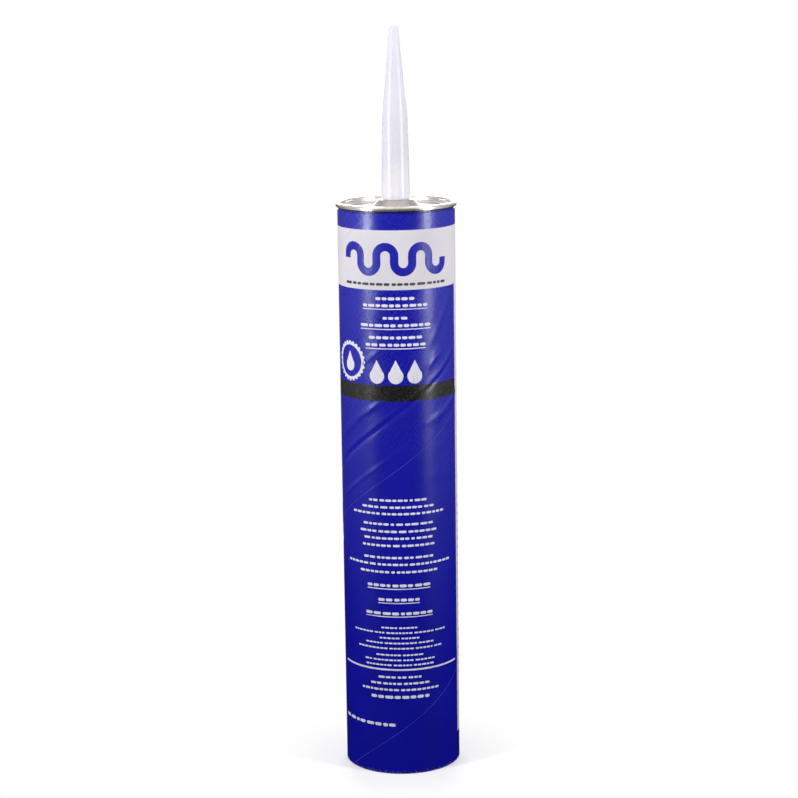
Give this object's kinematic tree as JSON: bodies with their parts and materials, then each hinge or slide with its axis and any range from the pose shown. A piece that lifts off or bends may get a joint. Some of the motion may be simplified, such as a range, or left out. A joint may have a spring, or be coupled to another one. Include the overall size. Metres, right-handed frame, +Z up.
{
  "type": "construction adhesive cartridge",
  "caption": "Large board adhesive cartridge with a rolled tinplate end, a long sealed plastic nozzle, a blue and white printed wrap and a sliding rear plunger.",
  "frame": {"origin": "middle of the bottom edge of the barrel, at the open rear end", "axes": "+Z up along the barrel towards the nozzle, -Y towards the middle of the front print, +X to the right seen from the front"},
  "size_m": [0.0676, 0.0676, 0.4241],
  "materials": {
    "board": "matt wound board",
    "wrap_blue": "semi-gloss printed paper",
    "ink_white": "semi-gloss printed paper",
    "ink_black": "semi-gloss printed paper",
    "ink_blue": "semi-gloss printed paper",
    "ink_grey": "semi-gloss printed paper",
    "tinplate": "bright tinplate",
    "nozzle_plastic": "milky moulded polyethylene",
    "membrane_film": "coated foil",
    "adhesive_paste": "smooth paste",
    "plunger_plastic": "moulded polyethylene"
  },
  "bodies": {
    "cartridge": {"fibre_tube": "board", "printed_wrap": "wrap_blue", "white_band": "ink_white", "black_stripe": "ink_black", "back_panel": "ink_white", "bead_motif": "ink_blue", "tagline": "ink_grey", "front_print": "ink_white", "back_print": "ink_grey", "top_end": "tinplate", "nozzle": "nozzle_plastic", "membrane": "membrane_film", "adhesive": "adhesive_paste"},
    "plunger": {"plunger": "plunger_plastic"}
  },
  "joints": [
    {"name": "plunger_slide", "type": "slide", "parent": "cartridge", "child": "plunger", "axis": [0, 0, 1], "range_m": [0, 0.279], "deforming": ["adhesive"]}
  ]
}
